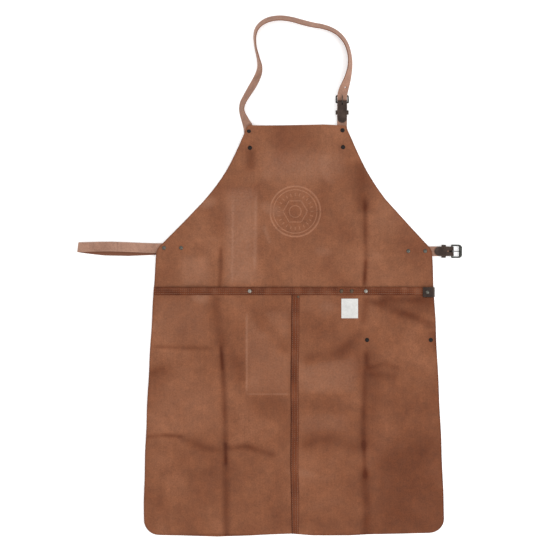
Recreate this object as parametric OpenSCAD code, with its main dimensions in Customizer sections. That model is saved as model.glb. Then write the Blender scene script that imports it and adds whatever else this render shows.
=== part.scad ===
// Leather welding apron, laid flat on its back with its front face up.
// +X is the right side as seen from the front, +Y runs from the hem to the neck, +Z out of the front face.
// The origin is on the underside of the skirt, on the panel's centre line. Millimetres.

/* [Panel] */
// Width across the hem
hem_w = 615; // [560:5:660]
// Width of the panel at the waist corners
waist_w = 564; // [520:2:600]
// Width of the top of the bib
bib_w = 207; // [196:1:220]
// Distance from the origin down to the hem
hem_y = 194; // [160:2:220]
// Height of the waist corners above the origin
waist_y = 389; // [384:1:395]
// Height of the highest point of the bib above the origin
bib_y = 646; // [640:1:655]
// Thickness of the suede in the body and the pocket layer
suede_t = 1.6; // [1.4:0.1:1.8]
// Radius of the corners at the hem
hem_r = 30; // [15:1:45]

/* [Pocket layer] */
// Height of the middle of the pocket layer's bound top edge
band_y = 305; // [299:1:306]
// Width of that bound edge
band_w = 16; // [14:0.5:20]
// Width of the strip that joins the two halves of the pocket layer
seam_w = 16; // [14:1:22]
// Width and height of the plain label
label_size = [34, 40]; // [20:1:40]

/* [Straps] */
// Width of the strap leather
strap_w = 20; // [19:0.5:20.5]
// Thickness of the strap leather
strap_t = 2.8; // [2.6:0.1:2.8]
// Thickness of the dark leather that holds the buckles
chape_t = 2.0; // [1.8:0.1:2.0]
// Length of the belt strap that shows left of the panel, from the panel's edge to its fold
belt_front_len = 156; // [120:2:170]
// Length of the belt strap that is tucked back under the apron
belt_tail_len = 580; // [400:10:600]
// Angle that the neck buckle's chape rises from the surface
neck_tilt = 11; // [11:0.5:13]

/* [Hardware] */
// Diameter of the rivet caps
cap_d = 8; // [7:0.5:9]
// Diameter of the wire that the buckles turn on
bar_d = 2.6; // [2.2:0.1:2.6]
// Outer width of both buckles
buckle_w = 27.6; // [27:0.1:29]
// Length of the belt buckle from its bar to its outer edge
belt_buckle_len = 20.6; // [19:0.2:26]
// Length of the neck buckle from its bar to its outer edge
neck_buckle_len = 15.6; // [15:0.2:17]

/* [Hidden] */

$fn = 48;
eps = 0.01;
// Layers, from the surface up: the tucked belt, the strap ends, then the bib over them
ply_gap = 0.2;
strap_z = strap_t + ply_gap;
lift = strap_z + strap_t;
mid_z = strap_z + strap_t / 2;
bib_top = lift + suede_t;
pocket_top = 2 * suede_t;
band_t = 1.4;
band_top = pocket_top + band_t;
// The skirt lies on the surface and the panel rises over the straps between these two heights
ramp_y0 = 322;
ramp_y1 = 352;
// Outline of the panel. The bib is a little off the centre line, and its top edge falls away from the crown.
waist_r = 26;
bib_x = 5;
bib_r = 7;
bib_fall = 2.5;
crown_x = 60;
// For the left and the right side: how far the skirt's side bulges, the armhole's knee as seen from the waist
// corner, and how far the armhole sags above the knee
side_bulge = [4.2, 1.4];
knee = [[-95, 98], [-95, 104]];
armhole_sag = [9, 6];
// Hinge lines of the straps
neck_axis_y = bib_y + 1.5;
belt_axis_x = -waist_w / 2 - 2;
tab_axis_x = waist_w / 2 + 2;
bend_gap = 1.6;
belt_strap_y = 393.5;
belt_tail_y = 389.5;
belt_tab_y = 386.5;
belt_fold_x = belt_axis_x - belt_front_len;
// Buckle parts, in a frame whose x runs from the hinge line to the buckle and whose z = 0 is the tab's middle
bar_clear = 0.1;
eye_r = bar_d / 2 + bar_clear;
fold_r = strap_t / 2 + chape_t;
chape_w = 19.4;
frame_t = 3;
rail_w = 3.3;
belt_outer_bar = 6.8;
neck_outer_bar = 3;
keeper_t = 1;
keeper_w = 26.7;
keeper_len = 8.4;
prong_d = 2;
prong_w = 3;
slot_w = 4.4;
slot_len = 9;
neck_bar = 43.9;
belt_bar = 39.4;
neck_chape_start = 2.4;
belt_chape_start = 3.4;
neck_keeper_x = 18.6;
belt_keeper_x = 18;
neck_frame_dip = 25;
neck_strap_x = -92;
neck_tab_x = 98.2;
// Rivets
post_r = 1.5;
post_clear = 0.05;
cap_h = 1.8;
back_t = 0.8;
bib_rivets = [[-92.3, 632.5], [-90.2, 598], [99, 633.8], [100.2, 599.3]];
waist_rivets = [[-266, 393.5], [-231, 393.5], [233.5, 387], [268, 387]];
band_rivets = [[-91, band_y], [97, band_y], [118, band_y], [147, band_y]];
pocket_rivets = [[149.5, 205], [280, 205]];
seam_x = 2.5;
seam_rivet_at = [8.4, 293.6];
seam_head_r = 2.5;
// Side loop and its snap
loop_t = 1.6;
loop_w = 20;
loop_y = band_y + (band_w - loop_w) / 2;
loop_root_z = suede_t;
loop_flap_z = 6.4;
loop_axis = [284.8, (loop_root_z + loop_t + loop_flap_z) / 2];
loop_len = 21;
snap_x = 272.7;

// Points along an arc about a centre, from one angle to another
function arc(c, r, a0, a1, n = 8) =
    [for (i = [0:n]) c + r * [cos(a0 + (a1 - a0) * i / n), sin(a0 + (a1 - a0) * i / n)]];

// Arc between two points of the right half, bent in towards the panel by sag
function sagged(a, b, sag, n = 14) =
    let (chord = norm(b - a), dir = (b - a) / chord, r = chord * chord / (8 * sag) + sag / 2,
        c = (a + b) / 2 + [dir[1], -dir[0]] * (r - sag), from = atan2(a[1] - c[1], a[0] - c[0]),
        to = atan2(b[1] - c[1], b[0] - c[0]))
    arc(c, r, from < 0 ? from + 360 : from, to < 0 ? to + 360 : to, n);

// One half of the outline from the hem to the bib, drawn as a right half: 0 is the left side and 1 the right
function half_outline(k) =
    let (hem = [hem_w / 2, hem_r - hem_y], waist = [waist_w / 2, waist_y], hollow = waist + knee[k],
        turn = atan2(-knee[k][0], knee[k][1]),
        corner = [bib_w / 2 + (k == 0 ? -bib_x : bib_x), bib_y - bib_fall])
    concat(arc(hem - [hem_r, 0], hem_r, -90, 0), [hem + (waist - hem) * 0.4 + [side_bulge[k], 0]],
        arc(waist - [waist_r, waist_r * tan(turn / 2)], waist_r, 0, turn, 6),
        sagged(hollow, corner - [0, bib_r], armhole_sag[k]), arc(corner - [bib_r, bib_r], bib_r, 0, 90, 5));

module panel_outline() {
    left = half_outline(0);
    polygon(concat(half_outline(1), [[crown_x, bib_y]],
        [for (i = [len(left) - 1:-1:0]) [-left[i][0], left[i][1]]]));
}

module strip(size, at, z, t) {
    translate([at[0] - size[0] / 2, at[1] - size[1] / 2, z]) cube([size[0], size[1], t]);
}

module rounded_rect(size, r) {
    square([size[0] - 2 * r, size[1]], center = true);
    square([size[0], size[1] - 2 * r], center = true);
    for (x = [-1, 1], y = [-1, 1])
        translate([x * (size[0] / 2 - r), y * (size[1] / 2 - r)]) circle(r);
}

module holes(at, z0, z1, r = post_r + post_clear) {
    for (p = at) translate([p[0], p[1], z0]) cylinder(r = r, h = z1 - z0);
}

// A recess on the underside for each rivet back
module recesses(at, z0) {
    for (p = at) translate([p[0], p[1], z0 - eps]) cylinder(r = cap_d / 2 + 0.1, h = back_t + eps);
}

// Domed caps on posts that reach down to the backs
module rivet_caps(at, z_top, z_back) {
    ball_r = (cap_d * cap_d / 4 + cap_h * cap_h) / (2 * cap_h);
    for (p = at) translate([p[0], p[1], 0]) {
        translate([0, 0, z_back]) cylinder(r = post_r, h = z_top - z_back + eps);
        intersection() {
            translate([0, 0, z_top + cap_h - ball_r]) sphere(ball_r);
            translate([0, 0, z_top]) cylinder(d = cap_d, h = cap_h);
        }
    }
}

module rivet_backs(at, z) {
    for (p = at) translate([p[0], p[1], z]) difference() {
        cylinder(r = cap_d / 2, h = back_t);
        translate([0, 0, -eps]) cylinder(r = post_r + post_clear, h = back_t + 2 * eps);
    }
}

// ---- Panel and pocket layer

module body_panel() color("sienna") difference() {
    intersection() {
        linear_extrude(2 * bib_top) panel_outline();
        rotate([90, 0, 90]) linear_extrude(hem_w + 2, center = true) polygon([
            [-hem_y - 1, 0], [ramp_y0, 0], [ramp_y1, lift], [bib_y + 1, lift], [bib_y + 1, bib_top],
            [ramp_y1, bib_top], [ramp_y0, suede_t], [-hem_y - 1, suede_t]]);
    }
    holes(concat(bib_rivets, waist_rivets), lift - 1, bib_top + 1);
    holes(concat(band_rivets, pocket_rivets, [seam_rivet_at]), -1, suede_t + 1);
    recesses(concat(band_rivets, pocket_rivets, [seam_rivet_at]), 0);
}

// One half of the pocket layer, on the side given by its sign
module pocket_half(side) {
    top = band_y + band_w / 2;
    difference() {
        translate([0, 0, suede_t]) linear_extrude(suede_t) intersection() {
            panel_outline();
            translate([seam_x + (side > 0 ? 0 : -hem_w), -hem_y]) square([hem_w, top + hem_y]);
        }
        holes(concat(band_rivets, pocket_rivets, [seam_rivet_at]), 0, pocket_top + 1);
        // The side loop's root takes the place of the pocket layer
        translate([loop_axis[0] - loop_len - 0.2, loop_y - loop_w / 2 - 0.2, suede_t - eps])
            cube([loop_len + 20, loop_w + 0.4, suede_t + 1]);
    }
}

module pocket_panel_left() color("sienna") pocket_half(-1);
module pocket_panel_right() color("sienna") pocket_half(1);

module top_band() color("saddlebrown") difference() {
    translate([0, 0, pocket_top]) linear_extrude(band_t) intersection() {
        panel_outline();
        translate([-hem_w / 2, band_y - band_w / 2]) square([hem_w / 2 + loop_axis[0] - 0.2, band_w]);
    }
    holes(concat(band_rivets, [[snap_x, loop_y]]), 0, band_top + 1);
    seam_rivet_recess();
}

// The seam rivet's head is sunk between the two bands
module seam_rivet_recess()
    translate([seam_rivet_at[0], seam_rivet_at[1], pocket_top - eps])
        cylinder(r = seam_head_r + 0.1, h = band_t + 1);

module centre_band() color("saddlebrown") difference() {
    y1 = band_y - band_w / 2;
    strip([seam_w, y1 + hem_y], [seam_x, (y1 - hem_y) / 2], pocket_top, band_t);
    seam_rivet_recess();
}

module label() color("white")
    strip(label_size, [114, band_y - band_w / 2 - 7.5 - label_size[1] / 2], pocket_top, 0.5);

// ---- Neck strap, riveted under the left corner of the bib

module under_strap(at, len_y, rivets) difference() {
    strip([strap_w, len_y], at, strap_z, strap_t);
    holes(rivets, 0, lift + 1);
    recesses(rivets, strap_z);
}

module neck_strap_anchor() color("tan")
    under_strap([neck_strap_x, neck_axis_y - bend_gap - 30], 60, [bib_rivets[0], bib_rivets[1]]);

// The flexing leather at a hinge line, between a fixed end and a moving end
module bend_y(x, w) strip([w, 2 * bend_gap], [x, neck_axis_y], strap_z, strap_t);
module bend_x(x, y) strip([2 * bend_gap, strap_w], [x, y], strap_z, strap_t);

module neck_strap_bend() color("tan") bend_y(neck_strap_x, strap_w);

// Stations of the neck strap: middle of the strap, then its roll, where 0 is flat and 90 on its outer edge
NECK_ROUTE = [
    [neck_strap_x, neck_axis_y + bend_gap + 0.3, mid_z, 0], [neck_strap_x, 654, mid_z + 0.4, 6],
    [-95.2, 661.5, 7.6, 36], [-101.2, 669.5, 9.6, 60], [-107, 678, 9.8, 63], [-104.5, 690, 9.4, 57],
    [-98.5, 701.5, 9.2, 54], [-91.5, 713, 8.8, 49], [-84, 725.5, 8.6, 46], [-77, 738.5, 8.7, 48],
    [-72, 751, 9.2, 54], [-70.3, 763, 9.9, 65], [-72.3, 776, 10.3, 77], [-75.3, 789, 10.4, 82],
    [-78.4, 802, 10.4, 84], [-80, 815, 10.4, 82], [-80, 827, 10.3, 77], [-76.5, 840, 10.1, 69],
    [-68, 850.5, 9.7, 61], [-56, 858, 9.4, 56], [-42, 862, 9.3, 55], [-24, 863, 9.3, 55],
    [-4, 860, 9.3, 55], [16, 854.5, 9.3, 54], [38, 849, 9.3, 55], [58, 845.5, 9.4, 57],
    [76, 839.5, 9.5, 59], [90, 831, 9.7, 61], [100.5, 820, 9.8, 63], [107.5, 808, 9.9, 66],
    [112, 794, 10, 68], [114.3, 780, 10, 68], [114.3, 766, 10, 65], [112.2, 752, 10.6, 59],
    [109, 739, 11.6, 50], [105.3, 728, 12.7, 38], [101.6, 718, 13.6, 22], [99.4, 711, 13.2, 5]];

// The end that dives through the buckle and lies under the chape, as distance from the hinge line and height
// above the tab's middle
NECK_DIVE = [[57, -2.3], [50.5, -3.7], [43.9, -4.9], [36.5, -4.9], [24, -4.9], [13, -4.9]];

function from_tab(d) = [neck_axis_y + d[0] * cos(neck_tilt) - d[1] * sin(neck_tilt),
    mid_z + d[0] * sin(neck_tilt) + d[1] * cos(neck_tilt)];

neck_stations = concat(NECK_ROUTE, [for (d = NECK_DIVE) [neck_tab_x, from_tab(d)[0], from_tab(d)[1], 0]]);

// Catmull-Rom interpolation through the stations
function spline(p, i, t) =
    let (n = len(p), a = p[max(i - 1, 0)], b = p[i], c = p[min(i + 1, n - 1)], d = p[min(i + 2, n - 1)])
    ((2 * b) + (c - a) * t + (2 * a - 5 * b + 4 * c - d) * t * t + (3 * b - a - 3 * c + d) * t * t * t) / 2;

// Rings of four corners, rolled about the path's direction
function strap_ring(p, q, w, t) =
    let (dir = [q[0] - p[0], q[1] - p[1], q[2] - p[2]] / norm([q[0] - p[0], q[1] - p[1], q[2] - p[2]]),
        side = cross(dir, [0, 0, 1]) / norm(cross(dir, [0, 0, 1])), up = cross(side, dir),
        wide = -side * cos(p[3]) - up * sin(p[3]), thick = cross(wide, dir))
    [for (s = [[1, 1], [1, -1], [-1, -1], [-1, 1]])
        [p[0], p[1], p[2]] + wide * s[0] * w / 2 + thick * s[1] * t / 2];

module swept_strap(stations, w, t, steps = 2) {
    n = len(stations) - 1;
    path = [for (i = [0:n - 1], k = [0:steps - 1]) spline(stations, i, k / steps), stations[n]];
    last = len(path) - 1;
    rings = [for (i = [0:last])
        let (ahead = i == 0 ? stations[1] - stations[0] : path[min(i + 1, last)] - path[i - 1])
        strap_ring(path[i], path[i] + ahead, w, t)];
    polyhedron([for (ring = rings, p = ring) p],
        concat([[0, 1, 2, 3]], [[4 * last + 3, 4 * last + 2, 4 * last + 1, 4 * last]],
            [for (i = [0:last - 1], k = [0:3], half = [0, 1])
                let (a = 4 * i + k, b = 4 * i + (k + 1) % 4) half ? [b, a + 4, b + 4] : [a, a + 4, b]]));
}

module neck_strap() color("tan") swept_strap(neck_stations, strap_w, strap_t);

// ---- Tabs and buckles. Each is drawn along +x from its hinge line and then placed.

module at_neck() translate([neck_tab_x, neck_axis_y, mid_z]) rotate([neck_tilt, 0, 0]) rotate(90) children();
module at_belt() translate([tab_axis_x, belt_tab_y, mid_z]) children();

// Side profile extruded across the width
module across(w) rotate([90, 0, 0]) linear_extrude(w, center = true) children();

// A strip folded round the buckle's bar, with a rounded end on its front ply and a slot for the prong
module chape(start, bar, keeper_x) difference() {
    intersection() {
        across(chape_w) {
            for (z = [strap_t / 2, -fold_r]) translate([start - 10, z]) square([bar - start + 10, chape_t]);
            intersection() {
                translate([bar, 0]) difference() { circle(fold_r); circle(eye_r); }
                translate([bar, -fold_r]) square([fold_r + 1, 2 * fold_r]);
            }
        }
        linear_extrude(20, center = true) union() {
            translate([start + chape_w / 2, -chape_w / 2]) square([bar - start, chape_w]);
            translate([start + chape_w / 2, 0]) circle(d = chape_w);
        }
    }
    translate([bar - slot_len, -slot_w / 2, -fold_r - 1])
        cube([fold_r + slot_len + 1, slot_w, 2 * fold_r + 2]);
    translate([keeper_x - 0.1, -chape_w, strap_t / 2 - eps])
        cube([keeper_len + 0.2, 2 * chape_w, keeper_t + eps]);
}

// The moving part of a tab, up to just short of the bar
module tab(bar, start = bend_gap)
    translate([start, -strap_w / 2, -strap_t / 2]) cube([bar - 6.6 - start, strap_w, strap_t]);

// A loop that passes under the chape's front ply and round everything behind it
module keeper(x, below) {
    top = strap_t / 2 + keeper_t;
    height = top + fold_r + below + keeper_t;
    translate([x, 0, top - height / 2]) rotate([90, 0, 90]) linear_extrude(keeper_len) difference() {
        rounded_rect([keeper_w, height], 2);
        rounded_rect([keeper_w - 2 * keeper_t, height - 2 * keeper_t], 0.8);
    }
}

module buckle_frame(length, outer_bar, corner) {
    linear_extrude(frame_t, center = true) difference() {
        union() {
            translate([-bar_d / 2 - 0.7, -buckle_w / 2])
                square([length - corner + bar_d / 2 + 0.7, buckle_w]);
            translate([0, corner - buckle_w / 2]) square([length, buckle_w - 2 * corner]);
            for (y = [-1, 1]) translate([length - corner, y * (buckle_w / 2 - corner)]) circle(corner);
        }
        translate([-bar_d, rail_w - buckle_w / 2])
            square([length - outer_bar + bar_d, buckle_w - 2 * rail_w]);
    }
    rotate([90, 0, 0]) cylinder(d = bar_d, h = buckle_w - 1, center = true);
}

// The prong turns on the bar and rests on the outer bar, whose near edge is at the given reach
module prong(length, reach) {
    rest = frame_t / 2 + prong_d / 2 + 0.1;
    rise = atan2(rest - 1.6, reach);
    difference() {
        union() {
            rotate([90, 0, 0]) cylinder(r = 2.6, h = prong_w, center = true);
            translate([0, 0, 1.6]) rotate([0, 90 - rise, 0]) {
                cylinder(d = prong_d, h = length - 1.5);
                translate([0, 0, length - 1.5]) sphere(d = prong_d);
            }
        }
        rotate([90, 0, 0]) cylinder(r = eye_r, h = prong_w + 1, center = true);
    }
}

module neck_tab_anchor() color("tan")
    under_strap([neck_tab_x, neck_axis_y - bend_gap - 30], 60, [bib_rivets[2], bib_rivets[3]]);
module neck_tab_bend() color("tan") bend_y(neck_tab_x, strap_w);
module neck_tab() color("tan") at_neck() tab(neck_bar, bend_gap + 0.5);
module neck_chape() color("dimgray") at_neck() chape(neck_chape_start, neck_bar, neck_keeper_x);
module neck_keeper() color("dimgray") at_neck() keeper(neck_keeper_x, strap_t + ply_gap);
module neck_buckle_frame() color("darkslategray") at_neck() translate([neck_bar, 0, 0])
    rotate([0, neck_frame_dip, 0]) buckle_frame(neck_buckle_len, neck_outer_bar, 4);
module neck_prong() color("darkslategray") at_neck() translate([neck_bar, 0, 0])
    rotate([0, neck_frame_dip - 19, 0]) prong(neck_buckle_len - 1, neck_buckle_len - neck_outer_bar);

// ---- Belt strap, riveted under the left waist corner and folded back under the apron

module belt_strap_anchor() color("tan") difference() {
    translate([belt_axis_x + bend_gap, belt_strap_y - strap_w / 2, strap_z]) cube([62, strap_w, strap_t]);
    holes([waist_rivets[0], waist_rivets[1]], 0, lift + 1);
    recesses([waist_rivets[0], waist_rivets[1]], strap_z);
}
module belt_strap_bend() color("tan") bend_x(belt_axis_x, belt_strap_y);
module belt_strap_front() color("tan") translate([belt_fold_x, belt_strap_y - strap_w / 2, strap_z])
    cube([belt_front_len - bend_gap, strap_w, strap_t]);

// The turn at the far left, where the strap doubles back
module belt_strap_fold() color("tan") intersection() {
    translate([belt_fold_x, (belt_strap_y + belt_tail_y) / 2, lift / 2])
        rotate([90, 0, 0]) difference() {
            cylinder(r = lift / 2, h = strap_w, center = true);
            cylinder(r = ply_gap / 2, h = strap_w + 1, center = true);
        }
    translate([belt_fold_x - lift, belt_tail_y - strap_w, 0]) cube([lift, 3 * strap_w, lift]);
}

// The tucked end, with a rounded tip and a row of holes for the prong
module belt_strap_tail() color("tan") difference() {
    tip_x = belt_fold_x + belt_tail_len;
    linear_extrude(strap_t) union() {
        translate([belt_fold_x + lift / 2 + 0.4, belt_tail_y - strap_w / 2])
            square([belt_tail_len - lift / 2 - strap_w / 2, strap_w]);
        translate([tip_x - strap_w / 2, belt_tail_y]) circle(d = strap_w);
    }
    for (i = [0:6]) translate([tip_x - 40 - 25 * i, belt_tail_y, -1]) cylinder(d = 3.5, h = strap_t + 2);
}

module belt_tab_anchor() color("tan") difference() {
    translate([tab_axis_x - bend_gap - 60, belt_tab_y - strap_w / 2, strap_z]) cube([60, strap_w, strap_t]);
    holes([waist_rivets[2], waist_rivets[3]], 0, lift + 1);
    recesses([waist_rivets[2], waist_rivets[3]], strap_z);
}
module belt_tab_bend() color("tan") bend_x(tab_axis_x, belt_tab_y);
module belt_tab() color("tan") at_belt() tab(belt_bar);
module belt_chape() color("dimgray") at_belt() chape(belt_chape_start, belt_bar, belt_keeper_x);
module belt_keeper() color("dimgray") at_belt() keeper(belt_keeper_x, 0);
module belt_buckle_frame() color("darkslategray") at_belt()
    translate([belt_bar, 0, 0]) buckle_frame(belt_buckle_len, belt_outer_bar, 7);
module belt_prong() color("darkslategray") at_belt()
    translate([belt_bar, 0, 0]) prong(belt_buckle_len - 1, belt_buckle_len - belt_outer_bar);

// ---- Side loop: sewn between the layers at the right edge, folded over the front and closed by a snap

module side_loop_root() color("dimgray")
    strip([loop_len, loop_w], [loop_axis[0] - loop_len / 2, loop_y], loop_root_z, loop_t);

module side_loop_fold() color("dimgray") intersection() {
    translate([loop_axis[0], loop_y, loop_axis[1]]) rotate([90, 0, 0]) difference() {
        cylinder(r = (loop_flap_z + loop_t - loop_root_z) / 2, h = loop_w, center = true);
        cylinder(r = (loop_flap_z - loop_t - loop_root_z) / 2, h = loop_w + 1, center = true);
    }
    translate([loop_axis[0], loop_y - loop_w, 0]) cube([10, 2 * loop_w, 10]);
}

module side_loop_flap() color("dimgray") difference() {
    strip([loop_len, loop_w], [loop_axis[0] - loop_len / 2 - 0.4, loop_y], loop_flap_z, loop_t);
    holes([[snap_x, loop_y]], loop_flap_z - 1, loop_flap_z + loop_t + 1);
}

module snap_cap() color("silver") rivet_caps([[snap_x, loop_y]], loop_flap_z + loop_t, loop_flap_z);

module snap_socket() color("silver") translate([snap_x, loop_y, loop_flap_z - 1.1]) difference() {
    cylinder(r = 4, h = 1.1);
    translate([0, 0, -eps]) cylinder(r = 1.9, h = 1.1 + 2 * eps);
}

module snap_stud() color("silver") translate([snap_x, loop_y, 0]) {
    translate([0, 0, band_top]) cylinder(r = 4.5, h = 0.6);
    translate([0, 0, band_top]) cylinder(r = 1.75, h = loop_flap_z - band_top - 0.1);
    translate([0, 0, pocket_top]) cylinder(r = post_r, h = band_t + eps);
}

// ---- Rivets

module bib_rivet_caps() color("dimgray") rivet_caps(bib_rivets, bib_top, strap_z);
module bib_rivet_backs() color("dimgray") rivet_backs(bib_rivets, strap_z);
module waist_rivet_caps() color("gray") rivet_caps(waist_rivets, bib_top, strap_z);
module waist_rivet_backs() color("gray") rivet_backs(waist_rivets, strap_z);
module band_rivet_caps() color("silver") rivet_caps(band_rivets, band_top, 0);
module band_rivet_backs() color("silver") rivet_backs(band_rivets, 0);
module pocket_rivet_caps() color("dimgray") rivet_caps(pocket_rivets, pocket_top, 0);
module pocket_rivet_backs() color("dimgray") rivet_backs(pocket_rivets, 0);

module seam_rivet() color("silver") translate([seam_rivet_at[0], seam_rivet_at[1], 0]) {
    cylinder(r = post_r, h = pocket_top);
    cylinder(r = cap_d / 2, h = back_t);
    translate([0, 0, pocket_top]) cylinder(r = seam_head_r, h = band_t + 0.8);
}

body_panel();
pocket_panel_left();
pocket_panel_right();
top_band();
centre_band();
label();
neck_strap_anchor();
neck_strap_bend();
neck_strap();
neck_tab_anchor();
neck_tab_bend();
neck_tab();
neck_chape();
neck_keeper();
neck_buckle_frame();
neck_prong();
belt_strap_anchor();
belt_strap_bend();
belt_strap_front();
belt_strap_fold();
belt_strap_tail();
belt_tab_anchor();
belt_tab_bend();
belt_tab();
belt_chape();
belt_keeper();
belt_buckle_frame();
belt_prong();
side_loop_root();
side_loop_fold();
side_loop_flap();
snap_cap();
snap_socket();
snap_stud();
bib_rivet_caps();
bib_rivet_backs();
waist_rivet_caps();
waist_rivet_backs();
band_rivet_caps();
band_rivet_backs();
pocket_rivet_caps();
pocket_rivet_backs();
seam_rivet();
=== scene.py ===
import math
import random
from math import cos, pi, radians, sin

import bpy
import numpy as np
from mathutils import Matrix, Vector


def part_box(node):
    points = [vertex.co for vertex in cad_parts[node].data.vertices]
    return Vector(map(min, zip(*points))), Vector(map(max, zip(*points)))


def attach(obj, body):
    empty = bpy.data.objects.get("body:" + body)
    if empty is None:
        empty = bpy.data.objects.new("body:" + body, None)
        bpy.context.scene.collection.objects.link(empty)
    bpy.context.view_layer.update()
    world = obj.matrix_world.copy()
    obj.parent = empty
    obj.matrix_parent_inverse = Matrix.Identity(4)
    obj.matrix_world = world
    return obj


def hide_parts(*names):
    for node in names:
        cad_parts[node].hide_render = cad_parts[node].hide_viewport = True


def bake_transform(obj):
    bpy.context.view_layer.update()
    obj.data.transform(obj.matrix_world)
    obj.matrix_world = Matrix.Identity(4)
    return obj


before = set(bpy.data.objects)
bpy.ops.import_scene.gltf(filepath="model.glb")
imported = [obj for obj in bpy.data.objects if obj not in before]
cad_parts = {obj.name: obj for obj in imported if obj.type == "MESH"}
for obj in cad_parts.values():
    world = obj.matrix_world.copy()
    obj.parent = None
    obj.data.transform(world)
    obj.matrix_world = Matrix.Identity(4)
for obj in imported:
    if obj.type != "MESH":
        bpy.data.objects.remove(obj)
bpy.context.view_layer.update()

MM = 0.001


def lo(node):
    return np.array(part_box(node)[0])


def hi(node):
    return np.array(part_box(node)[1])


def mid(node):
    return (lo(node) + hi(node)) / 2


# ---- sizes that come from the frame
HEM_Y, BIB_Y = lo("body_panel")[1], hi("body_panel")[1]
HEM_HALF = hi("body_panel")[0]
WAIST = np.array([282, 389]) * MM
HEM_R, WAIST_R, BIB_R = 30 * MM, 26 * MM, 7 * MM
BIB_HALF, BIB_X, BIB_FALL, CROWN_X = 103.5 * MM, 5 * MM, 2.5 * MM, 60 * MM
SUEDE_T = hi("pocket_panel_left")[2] / 2
LIFT = hi("neck_strap_anchor")[2]
STRAP_Z = lo("neck_strap_anchor")[2]
STRAP_T = LIFT - STRAP_Z
STRAP_W = hi("belt_strap_front")[1] - lo("belt_strap_front")[1]
BAND_LO, BAND_HI = lo("top_band")[1], hi("top_band")[1]
BAND_T = hi("top_band")[2] - 2 * SUEDE_T
BAND_END = hi("top_band")[0]
SEAM_X0, SEAM_X1 = lo("centre_band")[0], hi("centre_band")[0]
SEAM_X = (SEAM_X0 + SEAM_X1) / 2
RAMP = (318 * MM, 356 * MM)

BIB_RIVETS = [(-92.3, 632.5), (-90.2, 598), (99, 633.8), (100.2, 599.3)]
WAIST_RIVETS = [(-266, 393.5), (-231, 393.5), (233.5, 387), (268, 387)]
BAND_RIVETS = [(-91, 305), (97, 305), (118, 305), (147, 305)]
POCKET_RIVETS = [(149.5, 205), (280, 205)]
SEAM_RIVET = (8.4, 293.6)
SNAP = mid("snap_cap")

# Sizes of the fittings
CHAPE_W, CHAPE_T = 19.4 * MM, 2 * MM
KEEPER_W, KEEPER_LEN, KEEPER_T = 26.7 * MM, 8.4 * MM, 1 * MM
BUCKLE_W, RAIL_W, FRAME_T = 27.6 * MM, 3.3 * MM, 3 * MM
BAR_R, PRONG_R, PRONG_EYE_R = 1.3 * MM, 0.9 * MM, 2 * MM
HOLE_R = 1.6 * MM
POCKET_INSET = 0.2 * MM
EDGE_WEAR = 0.25


# ---- shape of the leather as it lies
def smoothstep(a, b, v):
    t = np.clip((v - a) / (b - a), 0, 1)
    return t * t * (3 - 2 * t)


def waves(x, y, seed, length, count=7):
    """Smooth random relief from -1 to 1, made of plane waves about one length long."""
    draw = random.Random(seed)
    total = np.zeros_like(x, dtype=float)
    for _ in range(count):
        angle, phase = draw.uniform(0, 2 * pi), draw.uniform(0, 2 * pi)
        k = 2 * pi / (length * draw.uniform(0.7, 1.5))
        total += np.sin(k * (x * cos(angle) + y * sin(angle)) + phase)
    return total / math.sqrt(count) / 1.4


def arc(centre, r, a0, a1, count):
    a = np.radians(np.linspace(a0, a1, count))
    return np.stack([centre[0] + r * np.cos(a), centre[1] + r * np.sin(a)], axis=-1)


def sagged(a, b, sag, count=24):
    """Arc between two points of the right half, bent in towards the panel."""
    chord = math.hypot(*(b - a))
    along = (b - a) / chord
    r = chord * chord / (8 * sag) + sag / 2
    c = (a + b) / 2 + np.array([along[1], -along[0]]) * (r - sag)
    start, end = (math.degrees(math.atan2(p[1] - c[1], p[0] - c[0])) % 360 for p in (a, b))
    return arc(c, r, start, end, count)


def half_outline(knee, bulge, sag, corner_x):
    """One side of the panel from the hem to the bib, drawn as a right half."""
    hem, waist = np.array([HEM_HALF, HEM_Y + HEM_R]), WAIST
    turn = math.degrees(math.atan2(-knee[0], knee[1]))
    hip = hem + (waist - hem) * 0.4 + np.array([bulge * MM, 0])
    side = [hem * (1 - t) ** 2 + 2 * t * (1 - t) * (2 * hip - (hem + waist) / 2) + waist * t ** 2
            for t in np.linspace(0, 0.93, 12)[1:]]
    low = (waist[0] - WAIST_R, waist[1] - WAIST_R * math.tan(radians(turn / 2)))
    corner = np.array([corner_x, BIB_Y])
    return np.concatenate([arc(hem - [HEM_R, 0], HEM_R, -90, 0, 14), side, arc(low, WAIST_R, 0, turn, 8),
                           sagged(waist + np.array(knee) * MM, corner - [0, BIB_R], sag * MM),
                           arc(corner - BIB_R, BIB_R, 0, 90, 8)])


LEFT_SIDE = half_outline((-95, 98), 4.2, 9, BIB_HALF - BIB_X)
RIGHT_SIDE = half_outline((-95, 104), 1.4, 6, BIB_HALF + BIB_X)


def left_edge(y):
    return -np.interp(y, LEFT_SIDE[:, 1], LEFT_SIDE[:, 0]) + 0.35 * MM * np.sin(y * 61)


def right_edge(y):
    return np.interp(y, RIGHT_SIDE[:, 1], RIGHT_SIDE[:, 0]) + 0.35 * MM * np.sin(y * 53 + 1)


def inset(x, y):
    """How far a point lies inside the nearer side edge."""
    return np.minimum(x - left_edge(y), right_edge(y) - x)


# How far the hem wanders from a straight line: x and shift in millimetres
HEM_WAVE = [(-310, 0.5), (-230, -1), (-158, -3.7), (-105, -1.6), (-50, 1), (-6, 2.4), (37, -0.8), (114, -0.8),
            (154, 1.2), (310, 4.6)]


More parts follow.
